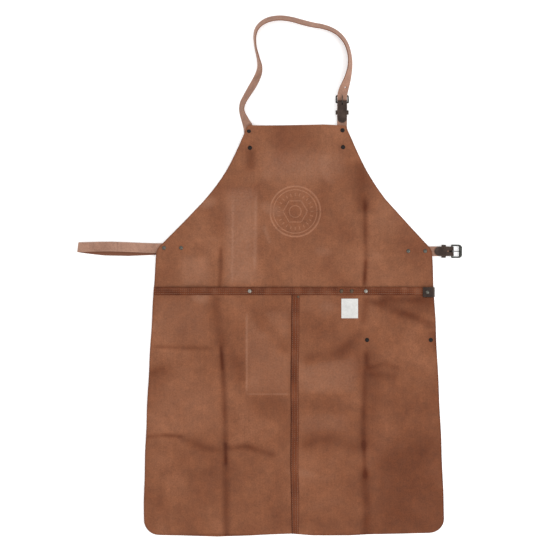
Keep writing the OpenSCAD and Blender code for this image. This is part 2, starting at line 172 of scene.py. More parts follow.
def warped(x, y):
    """y with the wavy hem and the falling top edge of the bib."""
    hem = np.interp(x / MM, *np.array(HEM_WAVE).T) * MM
    fall = BIB_FALL * np.clip(np.maximum((CROWN_X - x) / (CROWN_X + BIB_HALF - BIB_X - BIB_R),
                                         (x - CROWN_X) / (BIB_HALF + BIB_X - BIB_R - CROWN_X)), 0, 1)
    return (y + hem * (1 - smoothstep(HEM_Y, HEM_Y + 70 * MM, y))
            - fall * smoothstep(BIB_Y - 30 * MM, BIB_Y, y))


def from_segment(x, y, a, b):
    """Distance from a segment given in millimetres, and how far along it, from 0 to 1."""
    ax, ay, bx, by = (v * MM for v in (*a, *b))
    dx, dy = bx - ax, by - ay
    t = np.clip(((x - ax) * dx + (y - ay) * dy) / (dx * dx + dy * dy), 0, 1)
    return np.hypot(x - ax - t * dx, y - ay - t * dy), t


# Folds and wrinkles: points along each, half-width (mm), tone (negative is painted shade in the fold) and
# depth (mm)
FOLDS = [
    # the fold down the left side, from the bib to the hem
    (((-150, 400), (-150, 350), (-153, 305)), 3.2, -0.6, 0.5),
    (((-161, 305), (-157, 262), (-151, 215), (-147, 180)), 8, -0.5, 0.6),
    (((-149, 200), (-146, 150), (-144, 110), (-142, 50), (-141, -20)), 4.2, -0.62, 0.8),
    (((-142, 15), (-140, -60), (-139, -130), (-138, -225)), 5.2, -0.55, 0.7),
    (((-150, 196), (-147, 140)), 2.6, -0.45, 0.4), (((-141, -2), (-139, -55)), 2.6, -0.5, 0.4),
    # the one down the right side
    (((128, 578), (139, 525), (145, 460)), 11, -0.62, 0.5),
    (((145, 500), (146, 430), (147, 370), (144, 306)), 4.0, -0.6, 0.7),
    (((147, 372), (143, 312)), 3, -0.4, 0.4), (((148, 296), (144, 262), (141, 236)), 5, -0.55, 0.5),
    (((149, 205), (148, 160), (144, 113), (142, 50), (142, -25)), 4.4, -0.52, 0.8),
    (((158, 200), (158, 120), (153, 20), (152, -40)), 13, -0.3, 0.2),
    (((142, 2), (144, -40), (146, -82)), 3.4, -0.6, 0.8),
    (((144, -50), (146, -120), (150, -230)), 7, -0.5, 0.6),
    # creases across
    (((-296, 192), (-233, 189), (-160, 188)), 2.6, -0.5, 0.6),
    (((-306, 6), (-264, 10), (-225, 7)), 3.0, -0.62, 0.8),
    (((-240, 9), (-182, -16), (-141, -24)), 5.5, -0.4, 0.4),
    (((-144, -17), (-100, -13), (-73, -20), (-34, -34)), 4.6, -0.6, 0.8),
    (((8, -16), (50, 0), (80, 3), (110, -8), (142, -20)), 9, -0.4, 0.6),
    (((146, 146), (186, 157), (222, 143)), 4, -0.4, 0.5), (((150, 136), (215, 128)), 6, -0.35, 0.3),
    (((146, 288), (186, 274), (214, 262), (243, 252), (292, 230)), 6, -0.55, 0.8),
    (((170, 292), (296, 284)), 7, -0.5, 0.4), (((-100, 284), (-62, 240), (-8, 176)), 9, -0.26, 0.4),
    (((146, 232), (98, 181), (50, 171), (10, 162)), 8, -0.42, 0.5),
    (((-298, 136), (-262, 150)), 5, -0.34, 0.3),
    (((284, 226), (296, 180)), 8, -0.45, 0.4), (((-290, -60), (-200, -70), (-150, -60)), 9, -0.2, 0.3),
    (((-120, 176), (-104, 118)), 8, -0.28, 0.3), (((10, 246), (60, 226), (96, 232)), 12, -0.16, 0.2),
    # light lines where something was pressed against the hide
    (((-97, 266), (-97, 92)), 1.4, 0.4, -0.2), (((-99, 94), (-6, 94)), 1.4, 0.36, -0.2),
    (((-125, 500), (-127, 316)), 1.5, 0.24, -0.15), (((-78, 510), (-80, 340)), 2.0, 0.28, -0.15),
    (((-62, 440), (-48, 400)), 3.0, 0.2, -0.1),
]
# Broad changes of tone: a box (mm), how soft its edge is (mm) and the tone
PATCHES = [
    ((150, -215, 340, 0), 30, -0.56), ((150, -20, 340, 130), 30, -0.14), ((5, 96, 128, 166), 16, 0.22),
    ((5, 60, 118, 90), 9, -0.24), ((10, 14, 112, 55), 14, 0.14), ((-96, 98, -12, 262), 5, 0.13),
    ((-96, 46, -10, 90), 9, -0.2), ((-59, 537, 98, 586), 17, 0.24), ((-138, 322, -80, 513), 8, 0.24),
    ((-230, 316, -176, 376), 8, 0.16), ((-39, 405, 20, 424), 14, -0.26), ((-98, 552, -79, 596), 7, -0.62),
    ((165, 430, 235, 500), 22, 0.1), ((170, 258, 320, 297), 12, -0.24), ((-206, 384, -176, 402), 12, -0.3),
    ((110, 316, 300, 372), 26, -0.1), ((-290, 205, -180, 290), 22, 0.12), ((-300, 30, -170, 110), 34, 0.1),
    ((20, 250, 90, 296), 16, 0.1), ((60, 440, 125, 520), 24, -0.16), ((-60, -190, 120, -60), 50, -0.08),
]


def folds(x, y):
    """Depth of the folds, and the tone that they and the broad patches give the leather; the folds' dark tone
    is painted shade.
    """
    depth, tone = np.zeros_like(x), np.zeros_like(x)
    for points, width, shade, deep in FOLDS:
        bell, run = np.zeros_like(x), 0.0
        whole = sum(math.dist(a, b) for a, b in zip(points, points[1:]))
        for a, b in zip(points, points[1:]):
            d, t = from_segment(x, y, a, b)
            share = (run + t * math.dist(a, b)) / whole
            taper = smoothstep(-0.02, 0.14, share) * smoothstep(-0.02, 0.14, 1 - share)
            bell = np.maximum(bell, taper * np.exp(-(d / (1.5 * width * MM)) ** 2))
            run += math.dist(a, b)
        ragged = 0.85 + 0.22 * waves(x, y, int(width * 10), 0.05)
        depth += deep * MM * bell * ragged
        tone += shade * bell * ragged
    for (x0, y0, x1, y1), soft, shade in PATCHES:
        inside = 1.0
        for v, a, b in ((x, x0, x1), (y, y0, y1)):
            past = (1 + np.exp((a * MM - v) / (soft * MM / 2))) * (1 + np.exp((v - b * MM) / (soft * MM / 2)))
            inside = inside / past
        tone += shade * inside
    return depth, np.clip(tone, -0.95, 0.7)


def near(x, y, points, radius):
    """1 at the given points (millimetres), falling to 0 around them."""
    total = np.zeros_like(x)
    for px, py in points:
        total = np.maximum(total, np.exp(-(np.hypot(x - px * MM, y - py * MM) / radius) ** 2))
    return total


# What holds the bib off the surface: a rectangle in millimetres, and how much of the full lift it gives
SUPPORTS = [
    ((-102, 588, -82, 650), 1.0), ((88, 588, 108, 650), 1.0), ((-284, 383, -220, 404), 1.0),
    ((222, 376, 284, 397), 1.0), ((-281, 379, 142, 400), 0.5),
]


def underside(x, y):
    """Height of the body's underside as it lies over the straps."""
    clear = np.ones_like(x)
    for (x0, y0, x1, y1), share in SUPPORTS:
        dx = np.maximum(np.maximum(x0 * MM - x, x - x1 * MM), 0)
        dy = np.maximum(np.maximum(y0 * MM - y, y - y1 * MM), 0)
        clear *= 1 - share * np.exp(-((dx * dx + dy * dy) / (38 * MM) ** 2))
    held = smoothstep(*RAMP, y) * LIFT * (1 - 0.85 * clear)
    # The neck strap turns on edge here and pushes the corner of the bib up
    corner = 6.5 * MM * np.exp(-((x + 86 * MM) / (13 * MM)) ** 2 - (np.minimum(y - BIB_Y, 0) / (9 * MM)) ** 2)
    pinned = near(x, y, BIB_RIVETS + WAIST_RIVETS + BAND_RIVETS + POCKET_RIVETS + [SEAM_RIVET], 22 * MM)
    pinned = np.maximum(pinned, np.exp(-(np.hypot(x - SNAP[0], y - SNAP[1]) / (30 * MM)) ** 2))
    edge = np.maximum(np.exp(-inset(x, y) / (60 * MM)), np.exp(-(y - HEM_Y) / (45 * MM)))
    drape = (0.8 + waves(x, y, 3, 0.16)) * (0.35 + 1.1 * edge) * MM
    drape = np.maximum(drape + (0.5 + 0.5 * waves(x, y, 8, 0.045)) * 0.25 * MM, 0)
    return held + corner + np.maximum(drape - 0.8 * folds(x, y)[0], 0) * (1 - pinned)


def gape(x, y):
    """How far the pocket layer stands off the body: its top edge hangs open between the rivets."""
    stops = [-286, -91, 97, 118, 147, 262]
    rise = np.zeros_like(x)
    for a, b, most in zip(stops, stops[1:], (3.2, 2.0, 0.3, 0.5, 1.6)):
        t = np.clip((x / MM - a) / (b - a), 0, 1)
        rise += most * MM * np.sin(pi * t) ** 2
    seam = 1 - 0.7 * np.exp(-((x - SEAM_X) / (22 * MM)) ** 2)
    below = np.exp(-np.maximum(BAND_HI - y, 0) / (55 * MM))
    return rise * below * seam


# ---- mesh builders
UP = np.array([0, 0, 1.0])


def linked(name, data):
    obj = bpy.data.objects.new(name, data)
    bpy.context.scene.collection.objects.link(obj)
    return obj


def add_object(name, verts, faces, marks=()):
    mesh = bpy.data.meshes.new(name)
    mesh.from_pydata([tuple(v) for v in verts], [], faces)
    mesh.update()
    for mark, values in marks:
        layer = mesh.attributes.new(mark, "FLOAT", "POINT")
        layer.data.foreach_set("value", np.clip(values, -1, 1).astype(np.float32))
    mesh.polygons.foreach_set("use_smooth", [True] * len(mesh.polygons))
    return linked(name, mesh)


def slab(name, under, normal, thick, keep=None, wear_and_shade=None, closed=False, soften=0.0):
    """A sheet of leather from a grid of points on its underside, closed by walls round every edge and hole.
    The underside is marked, so that a material can colour the inner face."""
    rows, cols = under.shape[:2]
    over = under + normal * (np.asarray(thick)[..., None] if np.ndim(thick) else thick)
    spans = rows if closed else rows - 1
    keep = np.ones((spans, cols - 1), bool) if keep is None else keep
    verts = np.concatenate([under.reshape(-1, 3), over.reshape(-1, 3)])
    top = rows * cols

    def v(i, j, level):
        return (i % rows) * cols + j + level * top

    def kept(i, j):
        return (closed or 0 <= i < spans) and 0 <= j < cols - 1 and keep[i % spans, j]

    faces = []
    for i, j in zip(*np.nonzero(keep)):
        i, j = int(i), int(j)
        faces.append((v(i, j, 1), v(i, j + 1, 1), v(i + 1, j + 1, 1), v(i + 1, j, 1)))
        faces.append((v(i, j, 0), v(i + 1, j, 0), v(i + 1, j + 1, 0), v(i, j + 1, 0)))
        for (di, dj), a, b in (((-1, 0), (i, j), (i, j + 1)), ((0, 1), (i, j + 1), (i + 1, j + 1)),
                               ((1, 0), (i + 1, j + 1), (i + 1, j)), ((0, -1), (i + 1, j), (i, j))):
            if not kept(i + di, j + dj):
                faces.append((v(*a, 0), v(*b, 0), v(*b, 1), v(*a, 1)))
    used = np.unique(np.array([k for f in faces for k in f]))
    index = np.zeros(len(verts), int)
    index[used] = np.arange(len(used))
    marks = [("back", (used < top).astype(float))]
    if wear_and_shade is not None:
        marks.append(("wear_and_shade", np.tile(np.broadcast_to(wear_and_shade, (rows, cols)).ravel(), 2)[used]))
    obj = add_object(name, verts[used], [tuple(int(index[k]) for k in f) for f in faces], marks)
    if soften:
        bevel = obj.modifiers.new("soft_edge", "BEVEL")
        bevel.width, bevel.segments, bevel.limit_method, bevel.angle_limit = soften, 2, "ANGLE", radians(60)
    else:
        obj.modifiers.new("edges", "EDGE_SPLIT").split_angle = radians(50)
    return obj


def ruled_grid(rows, left, right, cols):
    """x and y of a grid whose rows run from one edge of the panel to the other."""
    u = np.linspace(0, 1, cols)[None, :]
    y = rows[:, None] + 0 * u
    return left(rows)[:, None] * (1 - u) + right(rows)[:, None] * u, y


def panel_rows(y0, y1, step, dense=()):
    rows = list(np.arange(y0, y1, step)) + [y1]
    rows += [HEM_Y + HEM_R * (1 - cos(a)) for a in np.linspace(0, pi / 2, 14)] if y0 == HEM_Y else []
    for a, b, fine in dense:
        rows += list(np.arange(a, b, fine))
    rows = np.unique(np.round(rows, 5))
    return rows[np.concatenate([[True], np.diff(rows) > 0.0004])]


def spline(points, per_span):
    """Catmull-Rom through rows of numbers."""
    p = np.array(points, float)
    p = np.concatenate([[2 * p[0] - p[1]], p, [2 * p[-1] - p[-2]]])
    out = []
    for i in range(1, len(p) - 2):
        a, b, c, d = p[i - 1:i + 3]
        for t in np.linspace(0, 1, per_span, endpoint=False):
            out.append((2 * b + (c - a) * t + (2 * a - 5 * b + 4 * c - d) * t * t
                        + (3 * b - a - 3 * c + d) * t ** 3) / 2)
    return np.array(out + [p[-2]])


def direction(path):
    """Unit vectors along a path."""
    ahead = np.gradient(path, axis=0)
    return ahead / np.linalg.norm(ahead, axis=1)[:, None]


def upright(path):
    """Points of x and z as points of x, y and z in the plane where y is 0."""
    return np.stack([path[:, 0], 0 * path[:, 0], path[:, 1]], axis=-1)


def uncut(under, holes):
    """Which cells of a strap's grid stay when round holes are punched at the given points."""
    middle = (under[:-1, :-1, :2] + under[1:, 1:, :2]) / 2
    keep = np.ones(middle.shape[:2], bool)
    for hole in holes:
        keep &= np.linalg.norm(middle - np.array(hole), axis=-1) > HOLE_R
    return keep


def strap(name, stations, across=7, per_span=4, holes=()):
    """A flat strap along stations of x, y, z (metres) and roll (degrees; 90 is on its left edge)."""
    path = spline(stations, per_span)
    centre, roll = path[:, :3], np.radians(path[:, 3])
    ahead = direction(centre)
    side = np.cross(ahead, UP)
    side /= np.linalg.norm(side, axis=1)[:, None]
    wide = side * np.cos(roll)[:, None] + np.cross(side, ahead) * np.sin(roll)[:, None]
    normal = np.cross(wide, ahead)[:, None, :]
    u = np.linspace(-0.5, 0.5, across)
    under = centre[:, None, :] + wide[:, None, :] * (u[None, :, None] * STRAP_W) - normal * STRAP_T / 2
    wear_and_shade = EDGE_WEAR * np.abs(2 * u) ** 6
    return slab(name, under, normal, STRAP_T, uncut(under, holes), wear_and_shade, soften=0.5 * MM)


def placed(obj, matrix):
    obj.data.transform(matrix)
    return obj


def ring_faces(count, sides, base=0):
    """Faces of a closed tube of rings of vertices, with a cap at each end."""
    faces = []
    for i in range(count - 1):
        for k in range(sides):
            a, b = base + i * sides + k, base + i * sides + (k + 1) % sides
            faces.append((a, b, b + sides, a + sides))
    faces.append(tuple(base + k for k in reversed(range(sides))))
    faces.append(tuple(base + (count - 1) * sides + k for k in range(sides)))
    return faces


def lathe(name, profile, places, segments=28):
    """Turned pieces: a profile of radius and height, repeated at each place."""
    verts, faces = [], []
    for x, y, z in places:
        faces += ring_faces(len(profile), segments, len(verts))
        for r, height in profile:
            for a in np.arange(segments) * 2 * pi / segments:
                verts.append((x + r * cos(a), y + r * sin(a), z + height))
    obj = add_object(name, verts, faces)
    obj.modifiers.new("edges", "EDGE_SPLIT").split_angle = radians(40)
    return obj


def tube(points, radii, sides=10):
    """Vertices and faces of a closed round tube along points."""
    p, verts = [Vector(q) for q in points], []
    normal = None
    for i, q in enumerate(p):
        ahead = (p[min(i + 1, len(p) - 1)] - p[max(i - 1, 0)]).normalized()
        normal = ahead.orthogonal() if normal is None else (normal - ahead * normal.dot(ahead))
        normal.normalize()
        other = ahead.cross(normal)
        for k in range(sides):
            a = 2 * pi * k / sides
            verts.append(tuple(q + (normal * cos(a) + other * sin(a)) * radii[i]))
    return verts, ring_faces(len(p), sides)


def joined(name, parts):
    verts, faces = [], []
    for v, f in parts:
        faces += [tuple(k + len(verts) for k in face) for face in f]
        verts += list(v)
    return add_object(name, verts, faces)


def stitches(name, runs, pitch=4.2 * MM, length=3.0 * MM, thick=0.45 * MM):
    """Rows of thread, each a short rounded piece that dips into the leather at both ends.
    A run is a list of points on the surface and the surface's normal."""
    parts = []
    for points, normal in runs:
        p = [Vector(q) for q in points]
        lengths = np.concatenate([[0], np.cumsum([(b - a).length for a, b in zip(p, p[1:])])])
        count = max(1, int(lengths[-1] / pitch))
        table = np.array([tuple(q) for q in p])
        for n in range(count):
            s = (n + 0.5) * lengths[-1] / count + np.array([-0.5, -0.25, 0, 0.25, 0.5]) * length
            line = [Vector([np.interp(v, lengths, table[:, k]) for k in range(3)]) for v in s]
            lift = [-0.5 * thick, 0.5 * thick, 0.7 * thick, 0.5 * thick, -0.5 * thick]
            parts.append(tube([q + Vector(normal) * h for q, h in zip(line, lift)],
                              [thick * r for r in (0.5, 0.95, 1.0, 0.95, 0.5)], 6))
    return joined(name, parts)


# ---- materials
def node_material(name):
    mat = bpy.data.materials.new(name)
    mat.use_nodes = True
    tree = mat.node_tree
    return mat, tree, tree.nodes["Principled BSDF"]


def feed(socket, value):
    """Links a node's input or sets it; a colour may leave out its alpha."""
    if isinstance(value, bpy.types.NodeSocket):
        socket.id_data.links.new(value, socket)
    else:
        socket.default_value = (*value, 1)[:4] if socket.type == "RGBA" else value


def fill(node, **values):
    """Feeds a node's inputs by name; an underscore stands for a space."""
    for name, value in values.items():
        feed(node.inputs[name.replace("_", " ")], value)


def noise_node(tree, scale, detail=4.0, rough=0.55, stretch=None, distortion=0.0):
    coords = tree.nodes.new("ShaderNodeTexCoord").outputs["Object"]
    if stretch:
        mapping = tree.nodes.new("ShaderNodeMapping")
        fill(mapping, Vector=coords, Scale=stretch)
        coords = mapping.outputs["Vector"]
    tex = tree.nodes.new("ShaderNodeTexNoise")
    fill(tex, Vector=coords, Scale=scale, Detail=detail, Roughness=rough, Distortion=distortion)
    return tex.outputs["Fac"]


def ramp(tree, fac, stops):
    node = tree.nodes.new("ShaderNodeValToRGB")
    bar = node.color_ramp
    while len(bar.elements) < len(stops):
        bar.elements.new(0.5)
    for element, (at, value) in zip(bar.elements, stops):
        element.position = at
        element.color = (*value, 1) if hasattr(value, "__len__") else (value, value, value, 1)
    fill(node, Fac=fac)
    return node.outputs["Color"]


def mix(tree, fac, a, b, kind="MIX"):
    node = tree.nodes.new("ShaderNodeMix")
    node.data_type, node.blend_type = "RGBA", kind
    for k, value in ((0, fac), (6, a), (7, b)):
        feed(node.inputs[k], value)
    return node.outputs[2]


def bump(tree, height, strength, distance, onto=None):
    node = tree.nodes.new("ShaderNodeBump")
    fill(node, Height=height, Strength=strength, Distance=distance)
    if onto:
        fill(node, Normal=onto)
    return node.outputs["Normal"]


def attribute(tree, name, low, high):
    """A mesh attribute stretched so that low is 0 and high is 1."""
    source = tree.nodes.new("ShaderNodeAttribute")
    source.attribute_name = name
    span = tree.nodes.new("ShaderNodeMapRange")
    fill(span, Value=source.outputs["Fac"], From_Min=low, From_Max=high)
    return span.outputs["Result"]


def leather(name, dark, mid_tone, light, worn, inner=None, blotch=9.0, mottle=55.0, rough=0.88, sheen=0.08,
            nap_depth=0.35):
    """Leather or suede: soft tone changes, streaks, a fine nap, and a tone marked on the mesh: lighter where
    worn, darker for the cut edges and for the painted shade in folds.
    """
    mat, tree, shader = node_material(name)
    nap = noise_node(tree, 900, 4, 0.7)
    tones = [(0.3, dark), (0.5, mid_tone), (0.72, light)]
    colour = ramp(tree, noise_node(tree, blotch, distortion=0.4), tones)
    layers = (
        (0.6, noise_node(tree, mottle, 6, 0.65), [(0.3, 0.39), (0.5, 0.5), (0.7, 0.61)]),
        (0.14, noise_node(tree, 210, 3, 0.6, stretch=(1, 0.07, 1)), [(0.3, 0.34), (0.5, 0.5), (0.7, 0.64)]),
        (0.6, noise_node(tree, 320, 5, 0.7), [(0.3, 0.36), (0.5, 0.5), (0.7, 0.62)]),
        (0.55, nap, [(0.25, 0.28), (0.75, 0.72)]),
    )
    for share, noise, stops in layers:
        colour = mix(tree, share, colour, ramp(tree, noise, stops), "OVERLAY")
    patchy = tree.nodes.new("ShaderNodeMath")
    patchy.operation = "MULTIPLY"
    feed(patchy.inputs[0], attribute(tree, "wear_and_shade", 0, 1))
    feed(patchy.inputs[1], ramp(tree, noise_node(tree, 260, 3), [(0.3, 0.45), (0.65, 1.0)]))
    colour = mix(tree, patchy.outputs[0], colour, worn)
    if inner:
        colour = mix(tree, attribute(tree, "back", 0, 0.6), colour, inner)
    # Negative marked tone darkens the colour: painted shade in the folds and along the bands' edges, and the
    # dark cut edges.
    colour = mix(tree, attribute(tree, "wear_and_shade", 0, -1), colour, (0.36, 0.2, 0.12), "MULTIPLY")
    gloss = ramp(tree, noise_node(tree, mottle, 3), [(0.3, rough - 0.08), (0.7, min(rough + 0.1, 1))])
    grain = bump(tree, nap, nap_depth, 0.4 * MM)
    grain = bump(tree, noise_node(tree, mottle * 3, 5, 0.6), 0.3, 0.6 * MM, grain)
    fill(shader, Base_Color=colour, Roughness=gloss, Normal=grain)
    fill(shader, Sheen_Weight=sheen, Sheen_Roughness=0.5, Specular_IOR_Level=0.16)
    return mat


def metal(name, base, edge, rough, metallic=0.9):
    """Cast or pressed metal with tarnish in patches and fine scratches."""
    mat, tree, shader = node_material(name)
    tarnish = ramp(tree, noise_node(tree, 420, 5, 0.6), [(0.35, base), (0.72, edge)])
    gloss = ramp(tree, noise_node(tree, 700, 4, 0.6), [(0.3, rough - 0.1), (0.7, rough + 0.14)])
    hammered = bump(tree, noise_node(tree, 500, 3), 0.3, 0.15 * MM)
    scratched = bump(tree, noise_node(tree, 2600, 2, stretch=(1, 0.08, 1)), 0.15, 0.05 * MM, hammered)
    fill(shader, Base_Color=tarnish, Roughness=gloss, Normal=scratched)
    fill(shader, Metallic=metallic, Specular_IOR_Level=0.15 + 0.35 * metallic)
    return mat


def woven(name, light, shade):
    """A plain woven label: crossing threads and a little soiling."""
    mat, tree, shader = node_material(name)
    coords = tree.nodes.new("ShaderNodeTexCoord").outputs["Object"]
    threads = []
    for axis in ("X", "Y"):
        wave = tree.nodes.new("ShaderNodeTexWave")
        wave.bands_direction = axis
        fill(wave, Vector=coords, Scale=320, Distortion=1.2)
        threads.append(wave.outputs["Fac"])
    weave = mix(tree, 0.5, threads[0], threads[1])
    colour = mix(tree, 0.5, ramp(tree, noise_node(tree, 90, 4), [(0.3, shade), (0.62, light)]),
                 ramp(tree, weave, [(0.2, shade), (0.7, light)]))
    fill(shader, Base_Color=colour, Normal=bump(tree, weave, 0.5, 0.15 * MM), Roughness=0.8)
    return mat


def thread(name, dark, light):
    mat, tree, shader = node_material(name)
    tone = noise_node(tree, 1500, 3)
    colour = ramp(tree, tone, [(0.3, dark), (0.7, light)])
    fill(shader, Base_Color=colour, Normal=bump(tree, tone, 0.5, 0.1 * MM), Roughness=0.7)
    return mat


BODY = leather("suede_body_skin", (0.165, 0.057, 0.027), (0.205, 0.078, 0.038), (0.25, 0.101, 0.052),
               (0.42, 0.23, 0.155))
POCKET = leather("suede_pocket_skin", (0.154, 0.052, 0.024), (0.192, 0.07, 0.033), (0.238, 0.093, 0.047),
                 (0.41, 0.22, 0.145))
BAND = leather("band_skin", (0.092, 0.022, 0.007), (0.122, 0.031, 0.01), (0.155, 0.044, 0.017),
               (0.28, 0.12, 0.065), blotch=14, rough=0.7, sheen=0.03)
STRAP = leather("strap_skin", (0.22, 0.115, 0.077), (0.29, 0.155, 0.107), (0.35, 0.195, 0.138),
                (0.42, 0.27, 0.2), (0.16, 0.062, 0.034), 16, 90, 0.62, 0.03, 0.2)
DARK = leather("dark_strap_skin", (0.02, 0.012, 0.009), (0.034, 0.02, 0.015), (0.062, 0.04, 0.031),
               (0.12, 0.09, 0.07), None, 45, 160, 0.45, 0.03, 0.2)
BURNISHED = leather("burnished_skin", (0.23, 0.093, 0.048), (0.272, 0.115, 0.062), (0.31, 0.138, 0.077),
                    (0.4, 0.21, 0.13), rough=0.6, sheen=0.03)
BRONZE = metal("dull_bronze", (0.07, 0.045, 0.03), (0.16, 0.11, 0.075), 0.5)
BUCKLE = metal("buckle_plating", (0.02, 0.02, 0.018), (0.11, 0.11, 0.1), 0.42)
BLACK = metal("black_rivet", (0.006, 0.005, 0.005), (0.022, 0.018, 0.016), 0.7, metallic=0.0)
GREY = metal("grey_rivet", (0.06, 0.056, 0.048), (0.17, 0.16, 0.135), 0.38)
SILVER = metal("nickel_rivet", (0.2, 0.185, 0.16), (0.36, 0.325, 0.285), 0.44)
LABEL = woven("label_weave", (0.66, 0.655, 0.63), (0.46, 0.455, 0.44))
THREAD_DARK = thread("dark_thread", (0.05, 0.022, 0.014), (0.09, 0.045, 0.03))
THREAD_TAN = thread("tan_thread", (0.17, 0.078, 0.044), (0.25, 0.12, 0.07))


def dress(obj, mat, body=None, instead_of=()):
    """Gives a piece its material, its body and the CAD nodes that it stands for."""
    obj.data.materials.clear()
    obj.data.materials.append(mat)
    if body:
        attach(obj, body)
    if instead_of:
        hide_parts(*instead_of)
    return obj


# ---- the body and the pocket layer
def surface_wear_and_shade(x, y):
    """Tone of the body and pocket leather: painted shade along the folds, the broad patches, scuffs and a
    dark cut edge.
    """
    tone = folds(x, y)[1]
    scuffs = np.clip(waves(x, y, 21, 0.09) - 0.8, 0, 1) * 0.5
    cut_edge = 0.45 * np.exp(-(inset(x, y) / (2.2 * MM)) ** 2)
    cut_edge += 0.35 * np.exp(-((y - HEM_Y) / (2.5 * MM)) ** 2)
    return np.clip(tone + scuffs - cut_edge, -1, 1)


def lift_points(x, y, extra=0.0):
    return np.stack([x, y, underside(x, y) + extra], axis=-1)


def build_body():
    rows = panel_rows(HEM_Y, BIB_Y, 9 * MM, [(300 * MM, BIB_Y, 2.4 * MM), (BIB_Y - BIB_R, BIB_Y, 0.9 * MM)])
    x, y = ruled_grid(rows, left_edge, right_edge, 300)
    y = warped(x, y)
    points = lift_points(x, y)
    obj = slab("body_leather", points, UP, SUEDE_T, wear_and_shade=surface_wear_and_shade(x, y))
    dress(obj, BODY, "root", ["body_panel"])
    heights = np.linspace(HEM_Y, BIB_Y, 2000)
    return obj, float(np.trapz(right_edge(heights) - left_edge(heights), heights))


def seam_edge(y, share):
    """x across the centre strip, which leans a little and narrows at the hem."""
    lean = np.interp(y / MM, [-194, -60, 150, 297], [0.2, -1.6, -1.2, 0.8]) * MM + 0.3 * MM * np.sin(y * 40)
    narrow = 1 - 0.16 * (1 - smoothstep(HEM_Y, HEM_Y + 80 * MM, y))
    return SEAM_X + lean + (SEAM_X1 - SEAM_X0) * (share - 0.5) * narrow


def build_pocket(side, left, right):
    """One half of the pocket layer, and its flat size and area. It is cut away under the side loop."""
    rows = panel_rows(HEM_Y, BAND_HI - 1.5 * MM, 3 * MM)
    x, y = ruled_grid(rows, left, right, 170)
    y = warped(x, y)
    points = lift_points(x, y, SUEDE_T + gape(x, y))
    loop_x, loop_y, _ = lo("side_loop_root") - 0.2 * MM
    under_loop = (x[:-1, :-1] > loop_x) & (y[1:, :-1] > loop_y)
    obj = slab("pocket_leather_" + side, points, UP, SUEDE_T, ~under_loop, surface_wear_and_shade(x, y))
    dress(obj, POCKET, "root", ["pocket_panel_" + side])
    widths = right(rows) - left(rows)
    return obj, (float(widths.max()), float(rows[-1] - rows[0])), float(np.trapz(widths, rows))


def lay_band(name, node, x, y, across, rounding, tone):
    """A strip sewn on the pocket layer, thinner at its edges."""
    points = lift_points(x, y, 2 * SUEDE_T + gape(x, y))
    thick = BAND_T * (1 - rounding * np.abs(2 * across - 1) ** 4) + 0 * x
    return dress(slab(name, points, UP, thick, wear_and_shade=tone), BAND, "root", [node])


def build_bands():
    u, v = np.linspace(0, 1, 240)[None, :], np.linspace(0, 1, 11)[:, None]
    y = BAND_LO + (BAND_HI - BAND_LO) * v + 0 * u
    x = left_edge(y) * (1 - u) + BAND_END * u
    # Painted shadow along the binding's top edge, deeper on the left half where the pocket mouth stands open;
    # the bottom edge is darker too.
    tone = 0.25 * waves(x, y, 31, 0.03) - 0.55 * (v < 0.08) - 0.5 * (v > 0.9) * (x < 0) - 0.25 * (v > 0.9)
    top = lay_band("top_binding", "top_band", x, y, v, 0.4, tone)
    rows = np.linspace(HEM_Y + 0.3 * MM, BAND_LO, 190)[:, None]
    u = np.linspace(0, 1, 13)[None, :]
    x, y = seam_edge(rows, u), rows + 0 * u
    y = warped(x, y)
    # Painted shadow along the strip's left edge, a darker right edge and a lighter line near it.
    tone = 0.2 * waves(x, y, 32, 0.04) - 0.65 * (u < 0.1) - 0.35 * (u > 0.95)
    tone += 0.35 * np.exp(-((u - 0.86) / 0.05) ** 2)
    return top, lay_band("centre_strip", "centre_band", x, y, u, 0.35, tone)


def build_band_stitches():
    def on_bands(x, y):
        return lift_points(x, y, gape(x, y) + 2 * SUEDE_T + BAND_T), UP

    runs = []
    for share in (0.2, 0.5, 0.76):
        x = np.linspace(left_edge(BAND_LO) + 3 * MM, BAND_END - 2 * MM, 200)
        runs.append(on_bands(x, np.full_like(x, BAND_LO + share * (BAND_HI - BAND_LO))))
    for share in (0.16, 0.52, 0.84):
        y = np.linspace(HEM_Y + 3 * MM, BAND_LO - 2 * MM, 160)
        runs.append(on_bands(seam_edge(y, share), y))
    return dress(stitches("band_stitches", runs, thick=0.38 * MM), THREAD_TAN, "root")


def build_label():
    a, b = lo("label"), hi("label")
    x, y = np.meshgrid(np.linspace(a[0], b[0], 18), np.linspace(a[1], b[1], 21))
    points = lift_points(x, y, 2 * SUEDE_T + gape(x, y))
    obj = slab("label_cloth_piece", points, UP, 0.5 * MM)
    return dress(obj, LABEL, "root", ["label"])


